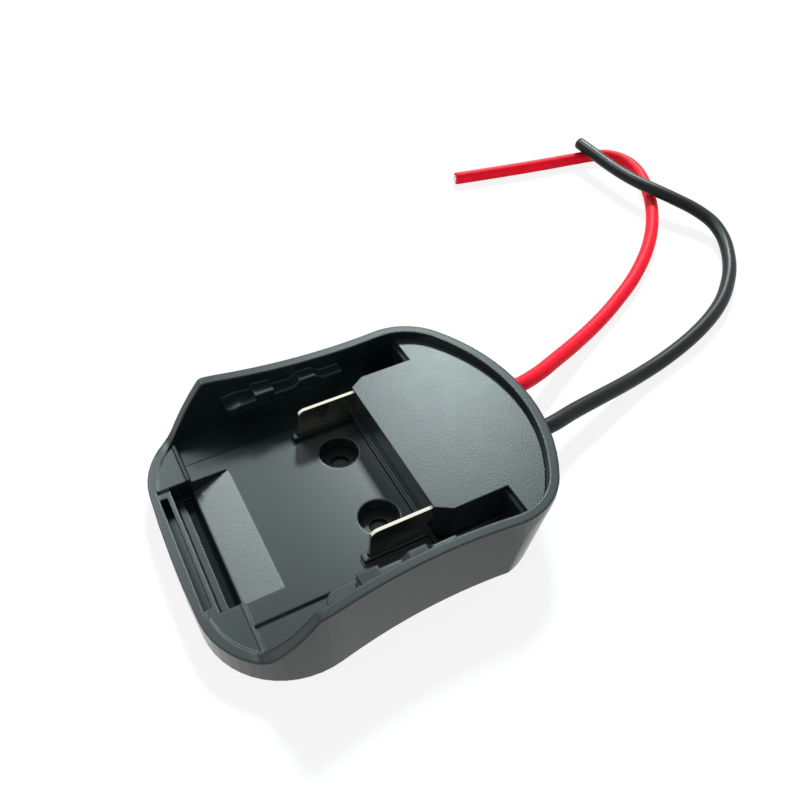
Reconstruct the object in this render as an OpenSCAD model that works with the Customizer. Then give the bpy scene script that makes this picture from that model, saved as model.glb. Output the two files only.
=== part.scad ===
// Battery dock: a moulded foot that a slide-on tool battery plugs into, with two blades and two leads.
// Millimetres, +Z up, +X towards the cable end, origin on the base under the middle of the dock.

/* [Outline] */
// Length from the front wall to the cable end
dock_l = 86.2; // [83:0.2:91]
// Width across the flared front
front_w = 70.4; // [66:0.2:76]
// How far the waist is drawn in from the front, each side
waist_in = 3; // [2.4:0.1:3.6]
// How far the rear shoulders stand out past the waist, each side
rear_out = 0.8; // [0.6:0.1:1.4]
// Radius of the front corners
front_corner_r = 19; // [17:0.5:20]
// Bow of the front wall between its corners
front_bow = 0.5; // [0.3:0.1:1.2]
// Radius of the rear shoulders
rear_corner_r = 15.5; // [14:0.5:17]
// Radius of the rounded cable end
rear_end_r = 46; // [44:0.5:50]
// Lean of the cable end, inwards at the base
rear_lean = 4.4; // [3:0.2:5]
// Room that the leaning shoulders leave outside the rim
shoulder_ease = 0.15; // [0.1:0.05:0.3]

/* [Heights] */
// Rim above the base at the front ends of the side walls
rim_front_h = 18.4; // [18:0.2:21]
// Rim above the base at the cable end
rim_rear_h = 16.1; // [15.6:0.1:17.6]
// Top of the low front wall above the base
front_h = 6.2; // [6.1:0.1:7]
// Battery floor above the base
floor_h = 5.2; // [5:0.1:5.4]
// Rise of the corner pads over the floor
pad_rise = 0.9; // [0.5:0.1:0.9]
// Rise of the small ridge behind each corner pad
ridge_rise = 0.3; // [0.1:0.05:0.3]
// Drop of the side channels below the floor
channel_drop = 0.5; // [0.3:0.1:0.9]

/* [Walls] */
// Side wall
wall_t = 2.2; // [1.8:0.1:2.4]
// Floor
floor_t = 2; // [1.6:0.1:2.2]
// Wall left outside the base cover
cover_lip = 1.2; // [0.9:0.1:1.4]
// Base cover
cover_t = 1.6; // [1.4:0.1:1.8]
// Front wall to the foot of the side wall's slope
slope_start = 9.1; // [8.6:0.1:10]
// Length of the side wall's slope
slope_run = 10.5; // [9:0.5:13]
// Fillet at the foot of the slope
slope_foot_r = 5; // [3:0.5:7]
// Round at the top of the slope
slope_top_r = 1.6; // [1:0.1:2.5]

/* [Latch pocket] */
// Width of the pocket and its ramp
latch_w = 35; // [32:0.5:38]
// Front wall to the narrow slot
slot_start = 2.2; // [2:0.1:2.6]
// Narrow slot, front to back
slot_l = 1.7; // [1.4:0.1:2]
// Narrow slot, side to side
slot_w = 30.8; // [28:0.2:31.4]
// Rib behind the slot
rib_t = 1.1; // [0.8:0.1:1.3]
// Drop of the rib's top below the corner pads
rib_drop = 0.5; // [0.3:0.1:0.7]
// Narrow groove behind the rib, in the base cover
seam_l = 0.5; // [0.4:0.1:0.7]
// Strip of the base cover that shows in the pocket
ledge_l = 1.5; // [1.2:0.1:1.8]
// Wide groove between that strip and the ramp's nose
gap_l = 2.2; // [1.8:0.1:2.6]
// Base cover left under the two grooves
groove_floor = 0.5; // [0.4:0.1:0.7]
// Length of the ramp
ramp_l = 9.4; // [9:0.1:10]
// Drop of the ramp over that length
ramp_drop = 3.1; // [2.8:0.1:3.3]
// Round of the ramp's nose
ramp_nose_r = 1.2; // [0.8:0.1:1.6]
// Front wall to the rear edge of the corner pads
pad_l = 9.9; // [9.4:0.1:10.4]
// Thickness of the ridge behind each pad
ridge_t = 0.8; // [0.5:0.1:1]
// Wall round the pocket below the floor
latch_wall = 1.6; // [1.2:0.1:1.8]
// Raised middle floor left beside the block, each side
floor_strip = 0.9; // [0.4:0.1:1.4]

/* [Battery rails] */
// Front wall to the front end of the rails
rail_start = 23.1; // [21:0.1:24]
// Length of the rails
rail_l = 29.2; // [28:0.1:31]
// Underside of the rails above the floor
rail_gap = 5.7; // [5.2:0.1:6.2]
// Thickness of the rails between their lumps
rail_t = 2.6; // [2.2:0.1:2.8]
// Reach of the rails from the wall at the waist
rail_reach = 2.8; // [2.2:0.1:3.4]
// Round of the rails' front corner, seen from above
rail_nose_r = 2.4; // [1.5:0.1:3]
// Length of the lead-in at the rails' front end
lead_in_l = 3.3; // [2.5:0.1:4.5]
// Drop of that lead-in
lead_in_drop = 1; // [0.6:0.1:1.4]
// Rise of the two lumps over the rails
lump_rise = 1.5; // [1:0.1:1.8]
// Front end of the rails to the first lump
first_lump = 7.1; // [6:0.1:8]
// Length of the first lump
first_lump_l = 4.6; // [3.6:0.1:5.6]
// Front end of the rails to the second lump
second_lump = 16.7; // [16:0.1:17.4]
// Length of the second lump at its foot
second_lump_l = 7.2; // [6.4:0.1:8]
// Length of each slope of the second lump
lump_slope_l = 1.7; // [1.2:0.1:2.2]

/* [Terminal block] */
// Front wall of the dock to the block's front face
block_start = 51.5; // [50.5:0.1:52.5]
// Width of the block between the side pockets
block_w = 44; // [40:0.1:46]
// Top of the block above the base
block_h = 14.5; // [14:0.1:14.8]
// Length of the side pockets beside the block
pocket_l = 16.6; // [15.8:0.1:17]
// Chamfer of the block's front corners along the dock
block_chamfer_l = 3.5; // [2.5:0.1:4]
// Chamfer of the block's front corners across the dock
block_chamfer_w = 2.2; // [1.8:0.1:2.3]
// Walls and top plate of the block
block_t = 1.6; // [1.4:0.1:1.8]
// Step under the top plate at the rear of each side pocket
pocket_step = 0.6; // [0.3:0.1:1]
// Foot of the block that shows in the floor ahead of it
foot_l = 1; // [0.8:0.1:1.4]
// Flange that holds the block under the floor
flange_w = 1.8; // [1.2:0.1:2.2]
// Floor's opening for the block, behind the side pockets
window_reach = 0.7; // [0.5:0.1:1]

/* [Blades] */
// Side of the block to the middle of a blade
blade_in = 2.95; // [2.6:0.05:3.3]
// Thickness of a blade
blade_t = 0.8; // [0.7:0.05:1]
// Length of a blade ahead of the block
blade_l = 14.4; // [13:0.2:15]
// Top of a blade above the base
blade_h = 13.7; // [13:0.1:14]
// Rake of a blade's front edge
blade_rake = 0.6; // [0.2:0.1:1]
// Round of a blade's front corner
blade_r = 1.8; // [1:0.1:2.5]
// Depth of a blade's foot in the floor
blade_foot = 0.8; // [0.5:0.1:1]
// Length of the solder tail behind the block's face
tail_l = 7.5; // [7:0.1:7.8]
// Height of the solder tail
tail_h = 4; // [3.4:0.1:4.6]
// Diameter of the hole in the solder tail
tail_hole_d = 1.3; // [1:0.1:1.6]
// Hole in the solder tail from the tail's end
tail_hole_in = 1.3; // [1.2:0.1:1.6]
// Width of the low rib that each blade stands in
blade_rib_w = 2.2; // [1.8:0.1:2.6]
// Rise of that rib over the floor
blade_rib_rise = 1; // [0.6:0.1:1.4]
// Length of that rib ahead of the blade
blade_rib_nose = 1.2; // [0.8:0.1:1.6]

/* [Mounting holes] */
// Distance between the two mounting holes
mount_pitch = 20.8; // [20:0.1:21.5]
// Mounting holes ahead of the block's front face
mount_setback = 8.2; // [8:0.1:9]
// Diameter of the well for the screw head
mount_well_d = 9.2; // [8.6:0.1:9.4]
// Diameter of the hole for the screw
mount_hole_d = 4.5; // [4:0.1:5]
// Wall round each well below the floor
well_wall = 1.2; // [1:0.1:1.4]

/* [Cover screws] */
// Diameter of the screw's head
screw_head_d = 4.8; // [4.4:0.1:5]
// Diameter of the screw's shank
screw_d = 2.3; // [2:0.1:2.5]
// Length of the screw with its countersunk head
screw_l = 4.4; // [4:0.1:4.6]
// Length of the cross recess
cross_l = 3.2; // [2.6:0.1:3.4]
// Width of the cross recess
cross_w = 0.6; // [0.4:0.1:0.8]
// Depth of the cross recess
cross_d = 0.7; // [0.4:0.1:0.8]
// Diameter of the boss round each screw
boss_d = 5.2; // [4.8:0.1:5.6]
// Front screws from the front wall
screw_front = 8.5; // [8:0.1:9]
// Front screws from the flared side
screw_front_in = 8.7; // [8:0.1:9.5]
// Rear screws from the cable end
screw_rear = 14; // [13.8:0.1:14.2]
// Rear screws from the side of the rear shoulder
screw_rear_in = 13.5; // [13:0.1:14.5]

/* [Leads] */
// Diameter of a lead
lead_d = 4; // [3.6:0.1:4.2]
// Diameter of a lead's copper
copper_d = 2.3; // [1.8:0.1:2.5]
// Copper that stands out of a lead's cut end
copper_stub = 0.4; // [0.2:0.1:0.8]
// Height of the leads' holes above the base
lead_h = 8.2; // [7.8:0.1:8.6]
// Distance between the leads' holes
lead_pitch = 15; // [14:0.5:16]
// Diameter of a solder joint
solder_d = 3.8; // [3.2:0.1:4.2]
// Solder between a blade's tail and the copper
solder_film = 0.2; // [0.15:0.05:0.3]
// Bevel of a solder joint's ends
solder_bevel = 0.9; // [0.6:0.1:1.2]
// Block's inner wall to the end of the stripped copper
strip_gap = 1.2; // [0.8:0.1:1.6]
// Stripped copper that stands out ahead of the solder
strip_nose = 1.1; // [0.8:0.1:1.4]
// Blade's tail to the end of the jacket
jacket_gap = 0.5; // [0.3:0.1:0.8]

/* [Clearances] */
// Between a lead and its hole, all round
lead_gap = 0.3; // [0.2:0.05:0.5]
// Between moulded pieces
fit_gap = 0.1; // [0.05:0.05:0.15]
// Between a blade and its slots
blade_gap = 0.05; // [0.03:0.01:0.1]
// Between a screw and its hole
screw_gap = 0.05; // [0.03:0.01:0.1]

/* [Hidden] */
$fn = 96;

// How far a cutting solid runs past the faces that it opens, and a raised one into what it stands on
past = 2;
root = 0.5;

// Ends of the dock, and the circles that its outline is made of
front_x = -dock_l / 2;
rear_x = dock_l / 2;
front_y = front_w / 2;
waist_y = front_y - waist_in;
rear_y = waist_y + rear_out;
front_c = [front_x + front_bow + front_corner_r, front_y - front_corner_r];
front_r = (pow(front_bow + front_corner_r, 2) + pow(front_c.y, 2) - pow(front_corner_r, 2)) / (2 * front_bow);
front_mid = [front_x + front_r, 0];
rear_mid = [rear_x - rear_end_r, 0];
rear_c_y = rear_y - rear_corner_r;
rear_c = [rear_mid.x + sqrt(pow(rear_end_r - rear_corner_r, 2) - pow(rear_c_y, 2)), rear_c_y];

// The waist's circle touches a front corner, a rear shoulder and the waist's width
front_sum = 2 * front_corner_r - waist_in;
rear_sum = 2 * rear_corner_r - rear_out;
span = rear_c.x - front_c.x;
flare_q = 1 / waist_in - 1 / rear_out;
flare_p = 2 * span / rear_out;
flare_c = span * span / rear_out + front_sum - rear_sum;
waist_run = 2 * flare_c / (flare_p + sqrt(flare_p * flare_p + 4 * flare_q * flare_c));
waist_r = (waist_run * waist_run / waist_in - front_sum) / 2;
waist_c = [front_c.x + waist_run, waist_y + waist_r];

// The cable end leans from here back, and its shoulders with it: a cone, and two tilted cylinders
lean_x = rear_c.x - rear_corner_r / 2;
base_end_r = rear_end_r - rear_lean;
base_c_x = rear_mid.x + sqrt(pow(base_end_r - rear_corner_r, 2) - pow(rear_c_y, 2));
shoulder_deg = atan2(rear_c.x - base_c_x, rim_rear_h);
shoulder_r = rear_corner_r * cos(shoulder_deg);
shoulder_y = rear_y + shoulder_ease - shoulder_r;
shoulder_from_y = rear_c_y * rear_end_r / (rear_end_r - rear_corner_r);

// Side wall's slope, seen from the side
slope_foot = [front_x + slope_start, front_h];
slope_top = [slope_foot.x + slope_run, rim_front_h];
slope_deg = atan2(slope_top.y - slope_foot.y, slope_run);
rim_deg = atan2(rim_rear_h - rim_front_h, rear_x - slope_top.x);
rim_end = [rear_x + past, rim_rear_h + past * tan(rim_deg)];
foot_tangent = slope_foot_r * tan(slope_deg / 2);
top_tangent = slope_top_r * tan((slope_deg - rim_deg) / 2);

// Places along the dock
slot_x = front_x + slot_start;
rib_x = slot_x + slot_l;
seam_x = rib_x + rib_t;
ledge_x = seam_x + seam_l;
gap_x = ledge_x + ledge_l;
ramp_x = gap_x + gap_l;
ramp_top_x = ramp_x + ramp_l;
pad_x = front_x + pad_l;
rail_x = front_x + rail_start;
block_x = front_x + block_start;
pocket_x = block_x + pocket_l;
window_x = block_x - foot_l;
window_end_x = pocket_x + window_reach;
mount_x = block_x - mount_setback;
blade_x = block_x - blade_l;
rib_nose_x = blade_x - blade_rake - blade_rib_nose;
tail_x = block_x + tail_l;
strip_x = block_x + block_t + strip_gap;
jacket_x = tail_x + jacket_gap;

// Places across the dock
blade_pitch = block_w - 2 * blade_in;
window_w = block_w + 2 * fit_gap;
mid_floor_w = block_w + 2 * floor_strip;
rail_y = waist_y - wall_t - rail_reach;

// Levels
pad_h = floor_h + pad_rise;
rib_h = pad_h - rib_drop;
channel_h = floor_h - channel_drop;
hollow_h = floor_h - floor_t;
rail_h = floor_h + rail_gap;
plate_h = block_h - block_t;
foot_rise = fit_gap;

// Screws that hold the base cover
head_h = (screw_head_d - screw_d) / 2;
screw_spots = [
    for (side = [-1, 1])
        each [
            [front_x + screw_front, side * (front_y - screw_front_in)],
            [rear_x - screw_rear, side * (rear_y - screw_rear_in)]
        ]
];

// A lead inside the dock: along the blade's tail, then in an S-bend to its hole
strip_y = blade_pitch / 2 - blade_t / 2 - solder_film - copper_d / 2;
bend_from_x = jacket_x + lead_d / 2;
bend_to_x = rear_x - rear_lean - wall_t;
function inner_route(side) = [
    [jacket_x, side * strip_y, lead_h],
    for (s = [0 : 0.25 : 1]) [
        bend_from_x + s * (bend_to_x - bend_from_x),
        side * (strip_y + (lead_pitch / 2 - strip_y) * (1 - cos(180 * s)) / 2),
        lead_h
    ],
    [rear_x, side * lead_pitch / 2, lead_h]
];

// Routes of the leads, on from their holes and over the surface to the cut ends
positive_route = concat(inner_route(1), [
    [48.9, 7.9, 7.6], [56.4, 10.4, 6.2], [63.9, 13.7, 4.8], [72.4, 17.4, 3.4], [80.9, 21.2, 2.4],
    [89.4, 25.1, 2.1], [97.4, 29.2, 2.1], [104.9, 33.4, 2.1], [112.4, 38.4, 2.1], [119.4, 43.8, 2.1],
    [125.9, 49.7, 2.1], [131.6, 55.8, 2.1], [136.7, 62.2, 2.1], [141.3, 69.2, 2.1], [145.2, 76.6, 2.1],
    [147.7, 83.2, 2.1], [148.4, 89.4, 2.1], [146.3, 95, 2.1], [141.4, 98.4, 2.1], [134, 99.9, 2.1],
    [122.4, 101.7, 2.1], [110.9, 103.7, 2.1], [99.4, 105.9, 2.1], [88.8, 108, 2.1]
]);
negative_route = concat(inner_route(-1), [
    [48.4, -6.9, 7.7], [55.9, -4.9, 6.4], [64.9, -3, 5], [73.4, -1.2, 3.6], [81.4, 0.6, 2.5],
    [90.4, 2.5, 2.1], [99.9, 4.9, 2.1], [108.4, 7.7, 2.1], [116.4, 11.1, 2.1], [123.4, 15, 2.1], [129.7, 19.7, 2.1],
    [135.4, 24.9, 2.2], [140.4, 31, 2.5], [144.2, 37.6, 3.2], [145.7, 44.5, 4.3], [144.4, 51.4, 5.4],
    [141.7, 58.3, 6.2], [139.2, 65, 6.6], [137.5, 71.6, 6.5], [136.6, 79, 6.3], [136.2, 86.5, 6.3],
    [136, 94, 6.5], [135.9, 102, 6.5]
]);

// Direction of a route at one of its points
function along(route, i) =
    let (a = route[max(i - 1, 0)], b = route[min(i + 1, len(route) - 1)])
    (b - a) / norm(b - a);

// Points of one ring round a route, square to it
function ring(route, i, r, sides) =
    let (way = along(route, i), flat = cross([0, 0, 1], way))
    let (right = flat / norm(flat), up = cross(way, right))
    [for (k = [0 : sides - 1]) route[i] + r * (cos(360 * k / sides) * right + sin(360 * k / sides) * up)];

// Points of an arc between two angles, in a number of steps
function arc(centre, r, from, to, steps) =
    [for (i = [0 : steps]) let (turn = from + (to - from) * i / steps) centre + r * [cos(turn), sin(turn)]];

// Angle of a direction, and a list without its first point
function angle(way) = atan2(way.y, way.x);
function rest(points) = [for (i = [1 : len(points) - 1]) points[i]];

// Half of the dock's outline, drawn in by an inset, from the front wall round to the cable end
function half_outline(inset) = concat(
    arc(front_mid, front_r - inset, 180, angle(front_c - front_mid), 2),
    rest(arc(front_c, front_corner_r - inset, angle(front_c - front_mid), angle(waist_c - front_c), 14)),
    rest(arc(waist_c, waist_r + inset, angle(front_c - waist_c), angle(rear_c - waist_c), 10)),
    rest(arc(rear_c, rear_corner_r - inset, angle(waist_c - rear_c), angle(rear_c - rear_mid), 10)),
    rest(arc(rear_mid, rear_end_r - inset, angle(rear_c - rear_mid), 0, 8))
);

// Dock outline, drawn in by an inset
module outline(inset = 0) {
    half = half_outline(inset);
    polygon(concat(half, [for (i = [len(half) - 2 : -1 : 1]) [half[i].x, -half[i].y]]));
}

// Everything in front of the leaning cable end, and inside its lean and that of its shoulders
module lean_limit(inset = 0) {
    rise = rim_front_h + past;
    end_r = base_end_r - inset;
    intersection() {
        union() {
            translate([rear_mid.x, 0, 0])
                cylinder(h = rise, r1 = end_r, r2 = end_r + rear_lean * rise / rim_rear_h, $fn = 240);
            translate([front_x - past, -front_w, 0]) cube([lean_x - front_x + past, 2 * front_w, rise]);
        }
        union() {
            for (side = [-1, 1]) translate([base_c_x, side * shoulder_y, 0]) rotate([0, shoulder_deg, 0])
                translate([0, 0, -rise]) cylinder(h = 3 * rise, r = shoulder_r - inset);
            translate([base_c_x, -front_w, 0]) rotate([0, shoulder_deg, 0])
                translate([-dock_l, 0, -rise]) cube([dock_l, 2 * front_w, 3 * rise]);
            translate([front_x - past, -shoulder_from_y, -past])
                cube([dock_l + 2 * past, 2 * shoulder_from_y, rise + 2 * past]);
        }
    }
}

// A layer of the dock's outline, drawn in, between two levels and two places along the dock
module layer(inset, low, high, from_x = front_x - past, to_x = rear_x + past) {
    intersection() {
        translate([0, 0, low]) linear_extrude(high - low) intersection() {
            outline(inset);
            translate([from_x, -front_w]) square([to_x - from_x, 2 * front_w]);
        }
        lean_limit(inset);
    }
}

// Sets an outline drawn in X and Z upright, and gives it a width across the dock
module across(width) rotate([90, 0, 0]) linear_extrude(width, center = true) children();

// Side view of the dock: low front, slope and falling rim, with a fillet and a round
module side_view() {
    foot_mid = slope_foot + [-foot_tangent, slope_foot_r];
    rim_way = [cos(rim_deg), sin(rim_deg)];
    top_mid = slope_top + top_tangent * rim_way + slope_top_r * [rim_way.y, -rim_way.x];
    polygon(concat(
        [[front_x - past, 0], [front_x - past, front_h]],
        arc(foot_mid, slope_foot_r, -90, slope_deg - 90, 6),
        arc(top_mid, slope_top_r, slope_deg + 90, rim_deg + 90, 6),
        [rim_end, [rim_end.x, 0]]
    ));
}

// Outside of the housing as one solid
module dock_body() {
    intersection() {
        linear_extrude(rim_front_h) outline();
        across(2 * front_w) side_view();
        lean_limit();
    }
}

// Space inside the walls: pads at the front, ridges, middle floor, side channels
module dock_space() {
    top = rim_front_h + past / 2;
    layer(wall_t, pad_h, top, to_x = pad_x - ridge_t);
    layer(wall_t, pad_h + ridge_rise, top, from_x = pad_x - ridge_t, to_x = pad_x);
    layer(wall_t, floor_h, top, from_x = pad_x);
    difference() {
        layer(wall_t, channel_h, top, from_x = pad_x, to_x = pocket_x - pocket_step);
        translate([front_x, -mid_floor_w / 2, 0]) cube([dock_l, mid_floor_w, top]);
    }
}

// Latch pocket, drawn in X and Z: the low rib, the well down to the base cover, and the ramp with its nose
module latch_view() {
    top = pad_h + past;
    ramp_deg = atan2(ramp_drop, ramp_l);
    nose_h = floor_h - ramp_drop + ramp_nose_r * (tan(ramp_deg) - 1 / cos(ramp_deg));
    polygon(concat(
        [[slot_x, top], [slot_x, rib_h], [seam_x, rib_h], [seam_x, -past], [ramp_x, -past]],
        arc([ramp_x + ramp_nose_r, nose_h], ramp_nose_r, 180, ramp_deg + 90, 6),
        [[ramp_top_x, floor_h], [ramp_top_x, top]]
    ));
}

// Hollow under the floor, clear of the latch pocket, the wells and the screw bosses
module under_hollow() {
    intersection() {
        translate([0, 0, cover_t]) linear_extrude(hollow_h - cover_t) difference() {
            outline(wall_t);
            translate([front_x, -latch_w / 2 - latch_wall])
                square([ramp_top_x + floor_t - front_x, latch_w + 2 * latch_wall]);
            for (side = [-1, 1]) translate([mount_x, side * mount_pitch / 2])
                circle(d = mount_well_d + 2 * well_wall);
            for (spot = screw_spots) translate(spot) circle(d = boss_d);
        }
        lean_limit(wall_t);
    }
}

// One battery rail on the +Y side: lead-in, a lump with square ends and a lump with sloped ends
module rail() {
    low = rail_h + rail_t;
    high = low + lump_rise;
    intersection() {
        translate([rail_x, 0, 0]) across(2 * front_w) polygon([
            [0, rail_h], [0, low - lead_in_drop], [lead_in_l, low], [first_lump, low], [first_lump, high],
            [first_lump + first_lump_l, high], [first_lump + first_lump_l, low], [second_lump, low],
            [second_lump + lump_slope_l, high], [second_lump + second_lump_l - lump_slope_l, high],
            [second_lump + second_lump_l, low], [rail_l, low], [rail_l, rail_h]
        ]);
        translate([rail_x, rail_y, 0]) linear_extrude(rim_front_h) polygon(concat(
            arc([rail_nose_r, rail_nose_r], rail_nose_r, 180, 270, 6),
            [[rail_l, 0], [rail_l, front_w], [0, front_w]]
        ));
        layer(wall_t - fit_gap, rail_h - past, rim_front_h);
    }
}

// Space of one blade, with a gap round it
module blade_space(side, gap) {
    low_y = side * blade_pitch / 2 - blade_t / 2 - gap;
    across_y = blade_t + 2 * gap;
    translate([blade_x - blade_rake - gap, low_y, floor_h - blade_foot - gap])
        cube([blade_l + blade_rake + gap, across_y, blade_h - floor_h + blade_foot + 2 * gap]);
    translate([block_x - past, low_y, lead_h - tail_h / 2 - gap])
        cube([tail_l + past + gap, across_y, tail_h + 2 * gap]);
}

// Shell of the dock with its floor, rails, latch pocket and holes
module dock_housing() color("#26282a") {
    difference() {
        union() {
            difference() {
                dock_body();
                dock_space();
                under_hollow();
                layer(cover_lip, -past, cover_t);
            }
            for (side = [0, 1]) mirror([0, side, 0]) {
                rail();
                translate([rib_nose_x, blade_pitch / 2 - blade_rib_w / 2, floor_h - root])
                    cube([window_x - rib_nose_x, blade_rib_w, blade_rib_rise + root]);
            }
        }
        across(latch_w) latch_view();
        translate([slot_x, -slot_w / 2, 0]) cube([slot_l, slot_w, front_h + past]);
        translate([window_x, -window_w / 2, 0]) cube([window_end_x - window_x, window_w, floor_h + past]);
        for (side = [-1, 1]) {
            blade_space(side, blade_gap);
            translate([mount_x, side * mount_pitch / 2, 0]) cylinder(h = floor_h + past, d = mount_well_d);
            translate([rear_c.x, side * lead_pitch / 2, lead_h]) rotate([0, 90, 0])
                cylinder(h = rear_end_r, d = lead_d + 2 * lead_gap);
        }
        for (spot = screw_spots) translate(spot)
            cylinder(h = screw_l + screw_gap, d = screw_d + 2 * screw_gap);
    }
}

// Plan of the block between the side pockets, drawn in by an inset
module block_plan(inset, to_x) {
    side = block_w / 2 - inset;
    nose = side - block_chamfer_w;
    polygon([
        [block_x + inset, -nose], [block_x + inset, nose], [block_x + inset + block_chamfer_l, side],
        [to_x, side], [to_x, -side], [block_x + inset + block_chamfer_l, -side]
    ]);
}

// Block that carries the blades: top plate, walls, foot in the floor and flange below it
module terminal_block() color("#2c2e30") {
    end_x = window_end_x - fit_gap;
    base = cover_t + fit_gap / 2;
    difference() {
        union() {
            translate([0, 0, plate_h]) linear_extrude(block_t) block_plan(0, pocket_x + fit_gap);
            layer(wall_t + fit_gap, plate_h, block_h, from_x = pocket_x);
            translate([0, 0, base]) linear_extrude(plate_h - base) block_plan(0, end_x);
            layer(wall_t + fit_gap, floor_h + fit_gap / 2, plate_h, from_x = pocket_x - pocket_step,
                to_x = pocket_x + block_t - pocket_step);
            translate([window_x + fit_gap, -block_w / 2, base])
                cube([foot_l, block_w, floor_h + foot_rise - base]);
            translate([block_x, -block_w / 2 - flange_w, base])
                cube([end_x - block_x, block_w + 2 * flange_w, hollow_h - fit_gap / 2 - base]);
        }
        translate([0, 0, base - past]) linear_extrude(plate_h - base + past) block_plan(block_t, rear_x);
        for (side = [-1, 1]) blade_space(side, blade_gap);
    }
}

// Plate that closes the underside
module base_cover() color("#222426") {
    difference() {
        layer(cover_lip + fit_gap, 0, cover_t);
        for (side = [-1, 1]) translate([mount_x, side * mount_pitch / 2, -past])
            cylinder(h = cover_t + 2 * past, d = mount_hole_d);
        for (groove = [[seam_x, seam_l], [gap_x, gap_l + ramp_nose_r]])
            translate([groove[0], -latch_w / 2, groove_floor]) cube([groove[1], latch_w, cover_t]);
        for (spot = screw_spots) translate(spot) screw_form(screw_gap);
    }
}

// Countersunk screw with a gap round it, head down on the base
module screw_form(gap) {
    cylinder(h = screw_l + gap, d = screw_d + 2 * gap);
    cylinder(h = head_h, r1 = screw_head_d / 2 + gap, r2 = screw_d / 2 + gap);
}

// Four screws with a cross recess
module cover_screws() color("silver") {
    for (spot = screw_spots) translate(spot) difference() {
        screw_form(0);
        for (turn = [0, 90]) rotate(turn)
            translate([-cross_l / 2, -cross_w / 2, -past]) cube([cross_l, cross_w, past + cross_d]);
    }
}

// Blade with a rounded, raked nose and a drilled solder tail
module blade(side) {
    foot = floor_h - blade_foot;
    tail = [lead_h - tail_h / 2, lead_h + tail_h / 2];
    translate([0, side * blade_pitch / 2, 0]) difference() {
        across(blade_t) polygon(concat(
            [[blade_x - blade_rake, foot]],
            arc([blade_x + blade_r, blade_h - blade_r], blade_r, 180, 90, 8),
            [[block_x, blade_h], [block_x, tail[1]], [tail_x, tail[1]], [tail_x, tail[0]]],
            [[block_x, tail[0]], [block_x, foot]]
        ));
        translate([tail_x - tail_hole_in, 0, lead_h]) rotate([90, 0, 0])
            cylinder(h = blade_t + past, d = tail_hole_d, center = true);
    }
}

module positive_blade() color("gainsboro") blade(1);
module negative_blade() color("gainsboro") blade(-1);

// Jacket of a lead, swept along its route
module wire(route, sides = 10) {
    rings = [for (i = [0 : len(route) - 1]) each ring(route, i, lead_d / 2, sides)];
    last = (len(route) - 1) * sides;
    walls = [
        for (i = [0 : len(route) - 2]) for (k = [0 : sides - 1])
            let (a = i * sides + k, b = i * sides + (k + 1) % sides)
            each [[a, b, b + sides], [a, b + sides, a + sides]]
    ];
    caps = [for (k = [1 : sides - 2]) each [[0, k + 1, k], [last, last + k, last + k + 1]]];
    polyhedron(points = rings, faces = [for (face = concat(walls, caps)) [face[0], face[2], face[1]]]);
}

module positive_wire() color("#e01f2d") wire(positive_route);
module negative_wire() color("#1d2022") wire(negative_route);

// Copper of a lead: the stripped end on the blade's tail, and the stub at the cut end
module conductor(route) {
    inner = route[0];
    outer = route[len(route) - 1];
    way = along(route, len(route) - 1);
    translate([strip_x, inner.y, inner.z]) rotate([0, 90, 0]) cylinder(h = inner.x - strip_x, d = copper_d);
    translate(outer) rotate([0, acos(way.z), atan2(way.y, way.x)]) cylinder(h = copper_stub, d = copper_d);
}

module positive_conductor() color("#b87333") conductor(positive_route);
module negative_conductor() color("#b87333") conductor(negative_route);

// Solder between a blade's tail and the stripped copper: a spindle with blunt ends
module solder(side, route) {
    start = route[0];
    from_x = strip_x + strip_nose;
    r = solder_d / 2;
    inner_r = r - solder_bevel;
    length = tail_x - from_x;
    face_y = side * (blade_pitch / 2 - blade_t / 2);
    difference() {
        translate([from_x, start.y, start.z]) rotate([0, 90, 0]) rotate_extrude()
            polygon([
                [0, 0], [inner_r, 0], [r, solder_bevel], [r, length - solder_bevel], [inner_r, length],
                [0, length]
            ]);
        translate([block_x, side > 0 ? face_y : face_y - solder_d, 0]) cube([dock_l, solder_d, block_h]);
        translate([block_x, start.y, start.z]) rotate([0, 90, 0]) cylinder(h = dock_l, d = copper_d);
    }
}

module positive_solder() color("silver") solder(1, positive_route);
module negative_solder() color("silver") solder(-1, negative_route);

dock_housing();
terminal_block();
base_cover();
cover_screws();
positive_blade();
negative_blade();
positive_wire();
negative_wire();
positive_conductor();
negative_conductor();
positive_solder();
negative_solder();
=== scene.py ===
"""Battery dock with two leads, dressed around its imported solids.

Everything is in metres and in the frame of the solids: +X towards the cable end, +Y towards the
positive blade, +Z up, and the dock stands on Z = 0.
"""

import logging
import math
import random
from dataclasses import dataclass
from enum import Enum

import bmesh
import bpy
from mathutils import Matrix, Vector

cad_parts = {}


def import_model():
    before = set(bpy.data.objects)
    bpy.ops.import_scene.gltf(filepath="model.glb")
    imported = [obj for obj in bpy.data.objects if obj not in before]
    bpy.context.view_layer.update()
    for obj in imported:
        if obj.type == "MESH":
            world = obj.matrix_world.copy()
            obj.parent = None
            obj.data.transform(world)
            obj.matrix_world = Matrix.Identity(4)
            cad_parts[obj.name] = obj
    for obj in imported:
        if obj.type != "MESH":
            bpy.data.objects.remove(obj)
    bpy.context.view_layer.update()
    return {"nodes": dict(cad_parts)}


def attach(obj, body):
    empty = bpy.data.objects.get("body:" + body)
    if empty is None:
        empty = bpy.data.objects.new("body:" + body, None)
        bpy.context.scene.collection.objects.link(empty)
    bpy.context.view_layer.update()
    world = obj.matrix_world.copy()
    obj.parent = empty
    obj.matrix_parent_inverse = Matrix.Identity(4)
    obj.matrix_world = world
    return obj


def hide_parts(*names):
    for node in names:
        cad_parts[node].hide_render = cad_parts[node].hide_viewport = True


LOG = logging.getLogger("battery_dock")
BODY = "root"
MM = 0.001
UP = Vector((0, 0, 1))
BEVEL_SAMPLES = 6
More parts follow.
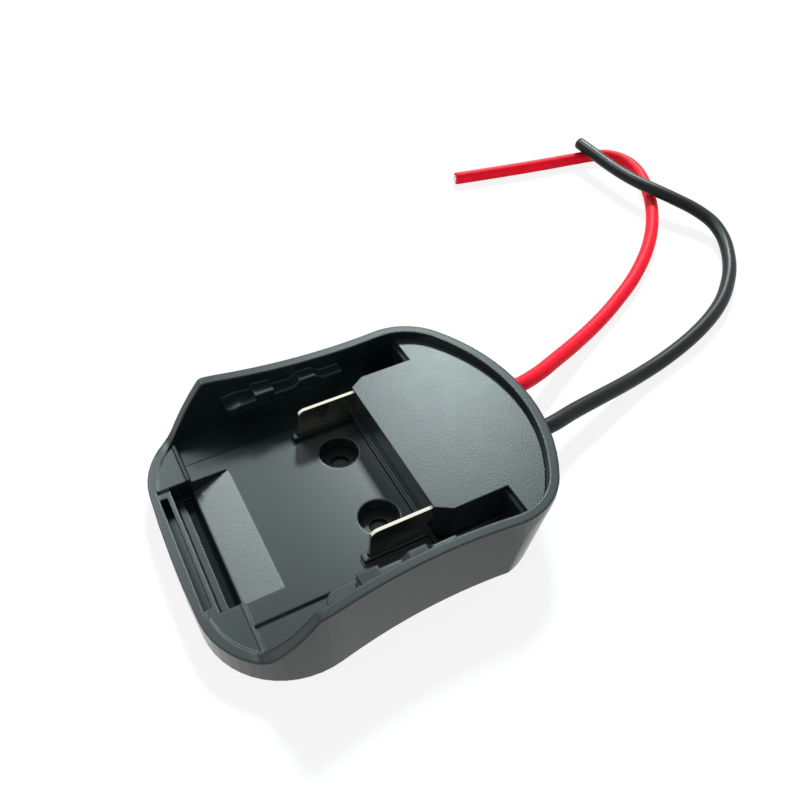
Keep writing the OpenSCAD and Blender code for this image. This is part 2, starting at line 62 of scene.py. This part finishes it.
NOISE_LEAST = 0.3
NOISE_MOST = 0.7
SEEN_BY = ("Is Camera Ray", "Is Glossy Ray", "Is Transmission Ray")
Colour = tuple[float, float, float]
Point = tuple[float, float, float]
Socket = bpy.types.NodeSocket


def mm(*values: float) -> Vector:
    """A point given in millimetres, in metres."""
    return Vector(values) * MM


class Side(Enum):
    """The two sides of the dock, by the sign of Y."""

    POSITIVE = 1
    NEGATIVE = -1


class NodeSheet:
    """The shader nodes of a material or a sky, with short calls to add and join them."""

    def __init__(self, owner: bpy.types.Material | bpy.types.World, output: str) -> None:
        """Starts with nothing but the output.

        Args:
            owner: The material or sky.
            output: Blender's name for its kind of output node.
        """
        owner.use_nodes = True
        self.owner = owner
        self.tree = owner.node_tree
        self.tree.nodes.clear()
        self.surface = self.add(output).inputs["Surface"]

    @classmethod
    def of_material(cls, name: str) -> "NodeSheet":
        """Starts a new material."""
        return cls(bpy.data.materials.new(name), "ShaderNodeOutputMaterial")

    @classmethod
    def of_sky(cls, name: str) -> "NodeSheet":
        """Starts a new sky."""
        return cls(bpy.data.worlds.new(name), "ShaderNodeOutputWorld")

    def add(self, kind: str, **settings: object) -> bpy.types.Node:
        """Adds a node.

        Args:
            kind: Blender's name for the kind of node.
            settings: Values of the node's own properties.

        Returns:
            The new node.
        """
        node = self.tree.nodes.new(kind)
        for key, value in settings.items():
            setattr(node, key, value)
        return node

    def join(self, start: Socket, end: Socket) -> None:
        """Links one socket to another."""
        self.tree.links.new(start, end)

    def principled(self) -> bpy.types.Node:
        """Adds a Principled shader."""
        return self.add("ShaderNodeBsdfPrincipled")

    def rounded(self, radius: float) -> Socket:
        """Rounds sharp edges in the shading.

        Args:
            radius: Radius of the rounding, in metres.

        Returns:
            The rounded normal's socket.
        """
        bevel = self.add("ShaderNodeBevel", samples=BEVEL_SAMPLES)
        bevel.inputs["Radius"].default_value = radius
        return bevel.outputs["Normal"]

    def noise(self, size: float, detail: float, stretch: Vector | None = None) -> Socket:
        """Adds a noise in the piece's own space.

        Args:
            size: Size of one grain, in metres.
            detail: Number of finer layers in the noise.
            stretch: How many times longer a grain is along each axis.

        Returns:
            The noise's socket, from 0 to 1.
        """
        place = self.add("ShaderNodeTexCoord")
        shrink = self.add("ShaderNodeMapping")
        longer = stretch or Vector((1, 1, 1))
        shrink.inputs["Scale"].default_value = [1 / x for x in longer]
        self.join(place.outputs["Object"], shrink.inputs["Vector"])
        noise = self.add("ShaderNodeTexNoise")
        noise.inputs["Scale"].default_value = 1 / size
        noise.inputs["Detail"].default_value = detail
        self.join(shrink.outputs["Vector"], noise.inputs["Vector"])
        return noise.outputs["Fac"]

    def span(self, value: Socket, low: float, high: float) -> Socket:
        """Maps a noise to a range.

        Args:
            value: Socket from 0 to 1.
            low: Result at the noise's usual least.
            high: Result at the noise's usual most.

        Returns:
            The mapped socket.
        """
        node = self.add("ShaderNodeMapRange")
        node.inputs["From Min"].default_value = NOISE_LEAST
        node.inputs["From Max"].default_value = NOISE_MOST
        node.inputs["To Min"].default_value = low
        node.inputs["To Max"].default_value = high
        self.join(value, node.inputs["Value"])
        return node.outputs["Result"]

    def shades(self, value: Socket, dark: Colour, light: Colour) -> Socket:
        """Turns a noise into a colour between two shades.

        Args:
            value: Socket from 0 to 1.
            dark: Colour at the noise's usual least.
            light: Colour at the noise's usual most.

        Returns:
            The colour's socket.
        """
        ramp = self.add("ShaderNodeValToRGB")
        ramp.color_ramp.elements[0].position = NOISE_LEAST
        ramp.color_ramp.elements[1].position = NOISE_MOST
        ramp.color_ramp.elements[0].color = (*dark, 1)
        ramp.color_ramp.elements[1].color = (*light, 1)
        self.join(value, ramp.inputs["Fac"])
        return ramp.outputs["Color"]

    def bump(self, height: Socket, depth: float, under: Socket | None = None) -> Socket:
        """Raises the surface by a height.

        Args:
            height: Socket from 0 to 1.
            depth: Height of 1, in metres.
            under: Normal that this one starts from.

        Returns:
            The normal's socket.
        """
        node = self.add("ShaderNodeBump")
        node.inputs["Strength"].default_value = 1
        node.inputs["Distance"].default_value = depth
        self.join(height, node.inputs["Height"])
        if under is not None:
            self.join(under, node.inputs["Normal"])
        return node.outputs["Normal"]

    def math(self, operation: str, *values: Socket | float) -> Socket:
        """Works out a number from sockets and constants.

        Args:
            operation: Blender's name for the sum.
            values: Sockets or constants, in the order of the node's inputs.

        Returns:
            The result's socket.
        """
        node = self.add("ShaderNodeMath", operation=operation)
        for entry, value in zip(node.inputs, values):
            if isinstance(value, Socket):
                self.join(value, entry)
            else:
                entry.default_value = value
        return node.outputs["Value"]

    def inside(self, low: Vector, high: Vector) -> Socket:
        """Masks a box in the piece's own space.

        Args:
            low: Least corner of the box.
            high: Greatest corner of the box.

        Returns:
            A socket that is 1 inside the box and 0 outside it.
        """
        place = self.add("ShaderNodeTexCoord")
        offset = self.add("ShaderNodeVectorMath", operation="SUBTRACT")
        self.join(place.outputs["Object"], offset.inputs[0])
        offset.inputs[1].default_value = (low + high) / 2
        away = self.add("ShaderNodeVectorMath", operation="ABSOLUTE")
        self.join(offset.outputs["Vector"], away.inputs[0])
        parts = self.add("ShaderNodeSeparateXYZ")
        self.join(away.outputs["Vector"], parts.inputs["Vector"])
        halves = (high - low) / 2
        near = [self.math("LESS_THAN", parts.outputs[axis], halves[axis]) for axis in range(3)]
        return self.math("MULTIPLY", self.math("MULTIPLY", near[0], near[1]), near[2])

    def facing_up(self, least: float) -> Socket:
        """Masks the faces that look up.

        Args:
            least: Upward part that a face's normal needs.

        Returns:
            A socket that is 1 on such faces and 0 elsewhere.
        """
        shape = self.add("ShaderNodeNewGeometry")
        parts = self.add("ShaderNodeSeparateXYZ")
        self.join(shape.outputs["True Normal"], parts.inputs["Vector"])
        return self.math("GREATER_THAN", parts.outputs["Z"], least)

    def pick(self, mask: Socket, off: Socket, on: Socket) -> Socket:
        """Chooses between two shaders.

        Args:
            mask: Socket that is 0 or 1.
            off: Shader where the mask is 0.
            on: Shader where the mask is 1.

        Returns:
            The chosen shader's socket.
        """
        node = self.add("ShaderNodeMixShader")
        self.join(mask, node.inputs[0])
        self.join(off, node.inputs[1])
        self.join(on, node.inputs[2])
        return node.outputs["Shader"]

    def seen(self) -> Socket:
        """Masks the rays that show a thing: to the camera, in reflections and through glass.

        Returns:
            A socket that is 1 for such rays and 0 for the others.
        """
        path = self.add("ShaderNodeLightPath")
        first, second, third = (path.outputs[ray] for ray in SEEN_BY)
        return self.math("MAXIMUM", self.math("MAXIMUM", first, second), third)


def lighter(colour: Colour, times: float) -> Colour:
    """A colour with each part multiplied."""
    return tuple(part * times for part in colour)


@dataclass(frozen=True)
class Skin:
    """How the mould left one kind of face."""

    roughness: float
    specular: float
    grain_depth: float


@dataclass(frozen=True)
class Zone:
    """A box of a moulding, in millimetres, where a skin of its own takes the usual one's place."""

    low: Point
    high: Point
    skin: Skin

    def mask(self, sheet: NodeSheet) -> Socket:
        """A socket that is 1 in the zone."""
        return sheet.inside(mm(*self.low), mm(*self.high))


@dataclass(frozen=True)
class MouldedPlastic:
    """Black moulding with one skin each for its walls, its upper faces and its edges.

    Zones change the skin of upper faces, and corners change the skin of edges.
    """

    name: str
    colour: Colour
    walls: Skin
    tops: Skin
    edges: Skin
    zones: tuple[Zone, ...] = ()
    corners: tuple[Zone, ...] = ()
    edge: float = 0.3 * MM
    grain: float = 0.45 * MM
    grain_detail: int = 3
    cloud: float = 4.5 * MM
    cloud_detail: int = 2
    mottle: float = 0.1
    # Share by which the colour lightens where the shading normal turns at edges: a painted highlight.
    painted_edge_highlight: float = 0.25
    unevenness: float = 0.015
    flat_turn: float = 0.12
    upward: float = 0.9

    def skin(self, sheet: NodeSheet, skin: Skin, colour: Socket, soft: Socket) -> Socket:
        """Builds the shader of one kind of face.

        Args:
            sheet: Sheet that the shader goes on.
            skin: The kind of face.
            colour: Colour of the plastic.
            soft: Normal with its edges rounded.

        Returns:
            The shader's socket.
        """
        shader = sheet.principled()
        sheet.join(colour, shader.inputs["Base Color"])
        cloud = sheet.noise(self.cloud, self.cloud_detail)
        least = skin.roughness * (1 - self.unevenness)
        most = skin.roughness * (1 + self.unevenness)
        sheet.join(sheet.span(cloud, least, most), shader.inputs["Roughness"])
        shader.inputs["Specular IOR Level"].default_value = skin.specular
        grain = sheet.noise(self.grain, self.grain_detail)
        sheet.join(sheet.bump(grain, skin.grain_depth, soft), shader.inputs["Normal"])
        return shader.outputs["BSDF"]

    def material(self) -> bpy.types.Material:
        """Builds the plastic.

        Returns:
            The material.
        """
        sheet = NodeSheet.of_material(self.name)
        soft = sheet.rounded(self.edge)
        shape = sheet.add("ShaderNodeNewGeometry")
        distance = sheet.add("ShaderNodeVectorMath", operation="DISTANCE")
        sheet.join(soft, distance.inputs[0])
        sheet.join(shape.outputs["True Normal"], distance.inputs[1])
        turn = distance.outputs["Value"]
        grain = sheet.noise(self.grain, self.grain_detail)
        # Colour varies with the random grain and is lighter along every edge, convex and concave: a
        # painted highlight.
        grain_and_painted_edge_highlight = sheet.math("MULTIPLY_ADD", turn, self.painted_edge_highlight, grain)
        dark, light = lighter(self.colour, 1 - self.mottle), lighter(self.colour, 1 + self.mottle)
        colour = sheet.shades(grain_and_painted_edge_highlight, dark, light)
        flat = sheet.math("LESS_THAN", turn, self.flat_turn)
        upper = sheet.math("MULTIPLY", sheet.facing_up(self.upward), flat)
        edges = self.skin(sheet, self.edges, colour, soft)
        for zone in self.corners:
            edges = sheet.pick(zone.mask(sheet), edges, self.skin(sheet, zone.skin, colour, soft))
        surface = sheet.pick(flat, edges, self.skin(sheet, self.walls, colour, soft))
        surface = sheet.pick(upper, surface, self.skin(sheet, self.tops, colour, soft))
        for zone in self.zones:
            there = sheet.math("MULTIPLY", zone.mask(sheet), upper)
            surface = sheet.pick(there, surface, self.skin(sheet, zone.skin, colour, soft))
        sheet.join(surface, sheet.surface)
        return sheet.owner


@dataclass(frozen=True)
class PlatedMetal:
    """Plated or soldered metal with a drawn grain, and a rougher upper edge where it was cut."""

    name: str
    colour: Colour
    roughness: float
    cut: float = 0
    grain: float = 0.06 * MM
    grain_detail: int = 2
    grain_depth: float = 0.001 * MM
    drawn: float = 30
    cloud: float = 2.4 * MM
    cloud_detail: int = 3
    tarnish: float = 0.08
    unevenness: float = 0.2
    upward: float = 0.5
    edge: float = 0.2 * MM

    def material(self) -> bpy.types.Material:
        """Builds the metal.

        Returns:
            The material.
        """
        sheet = NodeSheet.of_material(self.name)
        shader = sheet.principled()
        shader.inputs["Metallic"].default_value = 1
        cloud = sheet.noise(self.cloud, self.cloud_detail)
        tint = sheet.shades(cloud, lighter(self.colour, 1 - self.tarnish), self.colour)
        sheet.join(tint, shader.inputs["Base Color"])
        least = self.roughness * (1 - self.unevenness)
        most = self.roughness * (1 + self.unevenness)
        rough = sheet.span(cloud, least, most)
        if self.cut:
            rough = sheet.math("MULTIPLY_ADD", sheet.facing_up(self.upward), self.cut, rough)
        sheet.join(rough, shader.inputs["Roughness"])
        streaks = sheet.noise(self.grain, self.grain_detail, Vector((self.drawn, 1, 1)))
        normal = sheet.bump(streaks, self.grain_depth, sheet.rounded(self.edge))
        sheet.join(normal, shader.inputs["Normal"])
        sheet.join(shader.outputs["BSDF"], sheet.surface)
        return sheet.owner


@dataclass(frozen=True)
class WireJacket:
    """Soft extruded insulation, faintly mottled and rippled, with a slight shine."""

    name: str
    colour: Colour
    roughness: float
    specular: float
    cloud: float = 3 * MM
    cloud_detail: int = 3
    fine: float = 0.3 * MM
    fine_detail: int = 2
    darkest: float = 0.88
    lightest: float = 1.06
    unevenness: float = 0.05
    ripple: float = 0.003 * MM

    def material(self) -> bpy.types.Material:
        """Builds the insulation.

        Returns:
            The material.
        """
        sheet = NodeSheet.of_material(self.name)
        shader = sheet.principled()
        cloud = sheet.noise(self.cloud, self.cloud_detail)
        fine = sheet.noise(self.fine, self.fine_detail)
        dark, light = lighter(self.colour, self.darkest), lighter(self.colour, self.lightest)
        sheet.join(sheet.shades(cloud, dark, light), shader.inputs["Base Color"])
        rough = sheet.span(fine, self.roughness - self.unevenness, self.roughness + self.unevenness)
        sheet.join(rough, shader.inputs["Roughness"])
        sheet.join(sheet.bump(cloud, self.ripple), shader.inputs["Normal"])
        shader.inputs["Specular IOR Level"].default_value = self.specular
        sheet.join(shader.outputs["BSDF"], sheet.surface)
        return sheet.owner


SMOOTH = Skin(roughness=0.2, specular=0.5, grain_depth=0.0005 * MM)
SATIN = Skin(roughness=0.34, specular=0.2, grain_depth=0.004 * MM)
EDGE = Skin(roughness=0.38, specular=0.3, grain_depth=0.002 * MM)
RIM = Skin(roughness=0.42, specular=0.115, grain_depth=0.002 * MM)
ERODED = Skin(roughness=0.37, specular=0.14, grain_depth=0.022 * MM)
BRIGHT = Skin(roughness=0.42, specular=0.7, grain_depth=0.022 * MM)
# Dark skin with almost no sheen: painted shade, for spots that lie only in shade.
PAINTED_SHADE_SKIN = Skin(roughness=0.6, specular=0.02, grain_depth=0.002 * MM)
SATIN_BLACK = (0.007, 0.013, 0.014)
ERODED_BLACK = (0.018, 0.026, 0.027)
RAMP = Zone((-34, -17.5, 1), (-24.55, 17.5, 5.19), BRIGHT)
WALL_TOP = Zone((-40, -40, 14.8), (45, 40, 20), RIM)
# Edges low along the far wall get the shade skin: painted shade in the crease between floor and far
# wall.
FAR_CREASE_PAINTED_SHADE = Zone((-38, 16, 0), (30, 36, 9.5), PAINTED_SHADE_SKIN)
# The cover's upper faces at the bottom of the latch gap get the shade skin: painted shade.
LATCH_GAP_PAINTED_SHADE = Zone((-36.1, -17.5, 0.2), (-32, 17.5, 1.5), PAINTED_SHADE_SKIN)


class Finishes(Enum):
    """Every finish on the dock."""

    HOUSING = MouldedPlastic(
        "satin_black_moulding",
        SATIN_BLACK,
        walls=SMOOTH,
        tops=SATIN,
        edges=EDGE,
        zones=(RAMP, WALL_TOP),
        corners=(FAR_CREASE_PAINTED_SHADE,),
        edge=0.7 * MM,
    )
    BLOCK = MouldedPlastic(
        "eroded_black_moulding", ERODED_BLACK, walls=SMOOTH, tops=ERODED, edges=EDGE
    )
    COVER = MouldedPlastic(
        "cover_black_moulding", SATIN_BLACK, walls=SATIN, tops=SATIN, edges=EDGE, zones=(LATCH_GAP_PAINTED_SHADE,)
    )
    BLADE = PlatedMetal("nickel_plate", (0.65, 0.62, 0.55), roughness=0.18, cut=0.8)
    SCREW = PlatedMetal("zinc_plate", (0.62, 0.62, 0.6), roughness=0.32)
    COPPER = PlatedMetal("tinned_copper", (0.74, 0.66, 0.6), roughness=0.35)
    SOLDER = PlatedMetal("satin_solder", (0.68, 0.68, 0.67), roughness=0.4, drawn=1)
    RED = WireJacket("red_insulation", (1, 0.008, 0.03), roughness=0.5, specular=0.08)
    BLACK = WireJacket("black_insulation", (0.009, 0.011, 0.012), roughness=0.4, specular=0.14)

    def material(self) -> bpy.types.Material:
        """The finish's material, made once."""
        return bpy.data.materials.get(self.value.name) or self.value.material()


def dress(piece: bpy.types.Object, finish: Finishes) -> None:
    """Gives a piece one finish all over."""
    piece.data.materials.clear()
    piece.data.materials.append(finish.material())


def settle(piece: bpy.types.Object, slot: str, *nodes: str) -> None:
    """Puts a new piece on the dock in place of solids.

    Args:
        piece: The new piece.
        slot: Material slot in the record; not used.
        nodes: Solids that it stands for.
    """
    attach(piece, BODY)
    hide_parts(*nodes)
    LOG.info("piece %s stands for %s", piece.name, ", ".join(nodes))


def new_piece(name: str, form: bmesh.types.BMesh) -> bpy.types.Object:
    """Makes a smooth-shaded piece from a form.

    Args:
        name: Name of the piece.
        form: Its mesh, which is freed.

    Returns:
        The piece, in the scene.
    """
    bmesh.ops.recalc_face_normals(form, faces=form.faces)
    mesh = bpy.data.meshes.new(name)
    form.to_mesh(mesh)
    form.free()
    mesh.shade_smooth()
    piece = bpy.data.objects.new(name, mesh)
    bpy.context.scene.collection.objects.link(piece)
    return piece


def add_ring(
    form: bmesh.types.BMesh, middle: Vector, right: Vector, up: Vector, sides: int
) -> list[bmesh.types.BMVert]:
    """Adds a ring of corners to a mesh.

    Args:
        form: The mesh.
        middle: Middle of the ring.
        right: Radius across it.
        up: The other radius across it.
        sides: Number of corners.

    Returns:
        The corners, in order.
    """
    ring = []
    for k in range(sides):
        turn = 2 * math.pi * k / sides
        ring.append(form.verts.new(middle + math.cos(turn) * right + math.sin(turn) * up))
    return ring


def close_tube(form: bmesh.types.BMesh, rings: list[list[bmesh.types.BMVert]]) -> None:
    """Joins rings one after the other and closes both ends.

    Args:
        form: The mesh.
        rings: Its rings, each with the same number of corners.
    """
    for low, high in zip(rings, rings[1:]):
        for k in range(len(low)):
            after = (k + 1) % len(low)
            form.faces.new((low[k], low[after], high[after], high[k]))
    form.faces.new(rings[0])
    form.faces.new(rings[-1])


@dataclass
class Lead:
    """One lead: its jacket, swept along its route, and the copper at both ends.

    Sizes are in millimetres and creases in degrees.
    """

    side: Side
    finish: Finishes
    slot: str
    outer_route: list[Point]
    diameter: float = 4.0
    copper_d: float = 2.3
    copper_stub: float = 0.4
    lead_h: float = 8.2
    lead_pitch: float = 15.0
    strip_y: float = 17.3
    strip_x: float = 11.2
    jacket_x: float = 16.4
    bend_to_x: float = 36.5
    rear_x: float = 43.1
    exit_x: float = 40.6
    bend_steps: int = 4
    steps: int = 5
    sides: int = 24
    lip: float = 0.15
    lip_crease: float = 60
    strand_rings: tuple[int, ...] = (1, 6, 12)
    strand_sides: int = 8
    strand_crease: float = 50
    shortest_strand: float = 0.75

    @property
    def name(self) -> str:
        """Name of the lead's pole."""
        return self.side.name.lower()

    def route(self) -> list[Vector]:
        """Points that the lead passes through, as its solid has them.

        Returns:
            The points, in metres, from the stripped end inside to the cut end.
        """
        sign = self.side.value
        hole_y = self.lead_pitch / 2
        bend_from_x = self.jacket_x + self.diameter / 2
        points = [(self.jacket_x, sign * self.strip_y, self.lead_h)]
        for step in range(self.bend_steps + 1):
            share = step / self.bend_steps
            x = bend_from_x + share * (self.bend_to_x - bend_from_x)
            y = self.strip_y + (hole_y - self.strip_y) * (1 - math.cos(math.pi * share)) / 2
            points.append((x, sign * y, self.lead_h))
        points.append((self.rear_x, sign * hole_y, self.lead_h))
        return [mm(*point) for point in [*points, *self.outer_route]]

    def centreline(self) -> list[Vector]:
        """The route as one smooth curve.

        Returns:
            Points close together along the curve.
        """
        points = self.route()
        ends = [2 * points[0] - points[1], *points, 2 * points[-1] - points[-2]]
        curve = []
        for a, b, c, d in zip(ends, ends[1:], ends[2:], ends[3:]):
            for step in range(self.steps):
                t = step / self.steps
                spot = 2 * b + (c - a) * t
                spot += (2 * a - 5 * b + 4 * c - d) * t**2
                spot += (3 * b - a - 3 * c + d) * t**3
                curve.append(0.5 * spot)
        return [*curve, points[-1]]

    def tube(self, line: list[Vector], radii: list[float]) -> bmesh.types.BMesh:
        """Sweeps a round tube along a line.

        Args:
            line: Points along the middle.
            radii: Radius at each point.

        Returns:
            The closed tube's mesh.
        """
        form = bmesh.new()
        rings = []
        for i, point in enumerate(line):
            way = line[min(i + 1, len(line) - 1)] - line[max(i - 1, 0)]
            right = way.cross(UP).normalized()
            up = right.cross(way).normalized()
            rings.append(add_ring(form, point, radii[i] * right, radii[i] * up, self.sides))
        close_tube(form, rings)
        return form

    def jacket(self) -> bpy.types.Object:
        """Builds the jacket as one closed tube with a softened lip at its ends.

        Returns:
            The piece.
        """
        line = self.centreline()
        radius = self.diameter / 2 * MM
        lip = self.lip * MM
        start_way = (line[1] - line[0]).normalized()
        end_way = (line[-1] - line[-2]).normalized()
        line = [line[0], line[0] + start_way * lip, *line[1:-1], line[-1] - end_way * lip, line[-1]]
        radii = [radius] * len(line)
        radii[0] = radii[-1] = radius - lip
        piece = new_piece(f"{self.name}_jacket", self.tube(line, radii))
        piece.data.set_sharp_from_angle(angle=math.radians(self.lip_crease))
        dress(piece, self.finish)
        settle(piece, self.slot, f"{self.name}_wire")
        return piece

    def strands(self) -> bpy.types.Object:
        """Builds the copper: strands packed in rings at the stripped end and at the cut end.

        Returns:
            The piece.
        """
        line = self.centreline()
        chance = random.Random(self.side.value)
        form = bmesh.new()
        across = 2 * (2 * len(self.strand_rings) - 1)
        strand_r = self.copper_d / across * MM
        ends = [
            (line[0], (line[0] - line[1]).normalized(), (self.jacket_x - self.strip_x) * MM),
            (line[-1], (line[-1] - line[-2]).normalized(), self.copper_stub * MM),
        ]
        for point, way, reach in ends:
            right = way.cross(UP).normalized()
            up = right.cross(way)
            wide, tall = strand_r * right, strand_r * up
            for layer, count in enumerate(self.strand_rings):
                for k in range(count):
                    turn = 2 * math.pi * (k + 0.5 * (layer % 2)) / count
                    spot = 2 * layer * strand_r * (math.cos(turn) * right + math.sin(turn) * up)
                    length = reach * chance.uniform(self.shortest_strand, 1)
                    start, stop = point + spot - way * strand_r, point + spot + way * length
                    rings = [add_ring(form, end, wide, tall, self.strand_sides) for end in (start, stop)]
                    close_tube(form, rings)
        piece = new_piece(f"{self.name}_strands", form)
        piece.data.set_sharp_from_angle(angle=math.radians(self.strand_crease))
        dress(piece, Finishes.COPPER)
        settle(piece, "copper", f"{self.name}_conductor")
        return piece

    def build(self) -> None:
        jacket = self.jacket()
        strands = self.strands()
        line = self.centreline()
        length = sum((b - a).length for a, b in zip(line, line[1:]))
        LOG.info("%s lead is %.0f mm long", self.name, length / MM)


@dataclass
class Dock:
    """The rigid pieces, which keep the shapes of their solids."""

    nodes: dict[str, bpy.types.Object]

    def build(self) -> None:
        """Dresses every rigid solid."""
        finishes = {
            "dock_housing": Finishes.HOUSING,
            "terminal_block": Finishes.BLOCK,
            "base_cover": Finishes.COVER,
            "cover_screws": Finishes.SCREW,
            "positive_blade": Finishes.BLADE,
            "negative_blade": Finishes.BLADE,
            "positive_solder": Finishes.SOLDER,
            "negative_solder": Finishes.SOLDER,
        }
        for name, finish in finishes.items():
            dress(self.nodes[name], finish)
            LOG.info("solid %s wears %s", name, finish.value.name)


@dataclass(frozen=True)
class Lamp:
    """One lamp far from the dock, by its place in the sky.

    Its azimuth runs from +Y towards +X, and all its angles are in degrees.
    """

    name: str
    azimuth: float
    elevation: float
    angle: float
    strength: float
    colour: Colour
    sheen_only: bool = False

    def build(self) -> None:
        """Hangs the lamp."""
        data = bpy.data.lights.new(self.name, "SUN")
        data.energy = self.strength
        data.angle = math.radians(self.angle)
        data.color = self.colour
        lamp = bpy.data.objects.new(self.name, data)
        up, side = math.radians(self.elevation), math.radians(self.azimuth)
        source = Vector((math.sin(side) * math.cos(up), math.cos(side) * math.cos(up), math.sin(up)))
        lamp.rotation_euler = source.to_track_quat("Z", "Y").to_euler()
        lamp.visible_diffuse = not self.sheen_only
        bpy.context.scene.collection.objects.link(lamp)


@dataclass
class Studio:
    """Camera, floor and light.

    The covered box, in millimetres, is the part of the floor under the dock.
    """

    eye: Vector
    gaze: Vector
    lens: float = 37.03
    sensor: float = 36
    clip_start: float = 0.01
    floor_size: float = 6.0
    floor_colour: Colour = (0.93, 0.93, 0.925)
    floor_shown: Colour = (0.12, 0.12, 0.12)
    floor_roughness: float = 0.9
    floor_specular: float = 0.1
    floor_glow: float = 0.86
    covered_low: Point = (-36.6, -26, -10)
    covered_high: Point = (23.4, 26, 10)
    white: Colour = (1, 1, 1)
    fill: float = 0.45
    lamps: tuple[Lamp, ...] = (
        Lamp("key", 32, 41, 8, 4.4, (0.86, 1.0, 1.0)),
        Lamp("window", -15, 44, 28, 2.8, (0.86, 1.0, 1.0), sheen_only=True),
    )

    def camera(self) -> None:
        """Sets the camera where the photograph was taken from."""
        data = bpy.data.cameras.new("camera")
        data.lens = self.lens
        data.sensor_width = self.sensor
        data.clip_start = self.clip_start
        camera = bpy.data.objects.new("camera", data)
        camera.location = self.eye
        camera.rotation_euler = self.gaze.to_track_quat("-Z", "Y").to_euler()
        bpy.context.scene.collection.objects.link(camera)
        bpy.context.scene.camera = camera

    def matt(self, sheet: NodeSheet, colour: Colour) -> bpy.types.Node:
        """Adds the floor's matt shader.

        Args:
            sheet: Sheet that it goes on.
            colour: Colour of the floor.

        Returns:
            The shader.
        """
        shader = sheet.principled()
        shader.inputs["Base Color"].default_value = (*colour, 1)
        shader.inputs["Roughness"].default_value = self.floor_roughness
        shader.inputs["Specular IOR Level"].default_value = self.floor_specular
        return shader

    def floor(self) -> None:
        """Lays the white floor.

        It glows where it is seen, except under the dock, and the glow lights nothing else.
        """
        form = bmesh.new()
        bmesh.ops.create_grid(form, x_segments=1, y_segments=1, size=self.floor_size / 2)
        floor = new_piece("floor", form)
        sheet = NodeSheet.of_material("white_floor")
        plain = self.matt(sheet, self.floor_colour)
        shown = self.matt(sheet, self.floor_shown)
        shown.inputs["Emission Color"].default_value = (*self.white, 1)
        covered = sheet.inside(mm(*self.covered_low), mm(*self.covered_high))
        glow = sheet.math("MULTIPLY_ADD", covered, -self.floor_glow, self.floor_glow)
        sheet.join(glow, shown.inputs["Emission Strength"])
        surface = sheet.pick(sheet.seen(), plain.outputs["BSDF"], shown.outputs["BSDF"])
        sheet.join(surface, sheet.surface)
        floor.data.materials.append(sheet.owner)

    def light(self) -> None:
        """Hangs the lamps and sets the sky, which is white where it is seen and faint as a light."""
        for lamp in self.lamps:
            lamp.build()
        sheet = NodeSheet.of_sky("room")
        sky = sheet.add("ShaderNodeBackground")
        sky.inputs["Color"].default_value = (*self.white, 1)
        sheet.join(sheet.math("MAXIMUM", sheet.seen(), self.fill), sky.inputs["Strength"])
        sheet.join(sky.outputs["Background"], sheet.surface)
        bpy.context.scene.world = sheet.owner

    def build(self) -> None:
        """Sets up the whole studio."""
        bpy.context.scene.view_settings.view_transform = "Standard"
        self.camera()
        self.floor()
        self.light()


EYE = (-45.6, -108.1, 150.3)
GAZE = (0.3252, 0.6231, -0.7114)
POSITIVE_ROUTE = [
    (48.9, 7.9, 7.6), (56.4, 10.4, 6.2), (63.9, 13.7, 4.8), (72.4, 17.4, 3.4), (80.9, 21.2, 2.4),
    (89.4, 25.1, 2.1), (97.4, 29.2, 2.1), (104.9, 33.4, 2.1), (112.4, 38.4, 2.1),
    (119.4, 43.8, 2.1), (125.9, 49.7, 2.1), (131.6, 55.8, 2.1), (136.7, 62.2, 2.1),
    (141.3, 69.2, 2.1), (145.2, 76.6, 2.1), (147.7, 83.2, 2.1), (148.4, 89.4, 2.1),
    (146.3, 95, 2.1), (141.4, 98.4, 2.1), (134, 99.9, 2.1), (122.4, 101.7, 2.1),
    (110.9, 103.7, 2.1), (99.4, 105.9, 2.1), (88.8, 108, 2.1),
]
NEGATIVE_ROUTE = [
    (48.4, -6.9, 7.7), (55.9, -4.9, 6.4), (64.9, -3, 5), (73.4, -1.2, 3.6), (81.4, 0.6, 2.5),
    (90.4, 2.5, 2.1), (99.9, 4.9, 2.1), (108.4, 7.7, 2.1), (116.4, 11.1, 2.1), (123.4, 15, 2.1),
    (129.7, 19.7, 2.1), (135.4, 24.9, 2.2), (140.4, 31, 2.5), (144.2, 37.6, 3.2),
    (145.7, 44.5, 4.3), (144.4, 51.4, 5.4), (141.7, 58.3, 6.2), (139.2, 65, 6.6),
    (137.5, 71.6, 6.5), (136.6, 79, 6.3), (136.2, 86.5, 6.3), (136, 94, 6.5), (135.9, 102, 6.5),
]


def main() -> None:
    """Builds the studio, the leads and the dock."""
    logging.basicConfig(level=logging.INFO, format="%(message)s")
    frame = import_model()
    Studio(eye=mm(*EYE), gaze=Vector(GAZE)).build()
    Lead(Side.POSITIVE, Finishes.RED, "red_jacket", POSITIVE_ROUTE).build()
    Lead(Side.NEGATIVE, Finishes.BLACK, "black_jacket", NEGATIVE_ROUTE).build()
    Dock(frame["nodes"]).build()


if __name__ == "__main__":
    main()
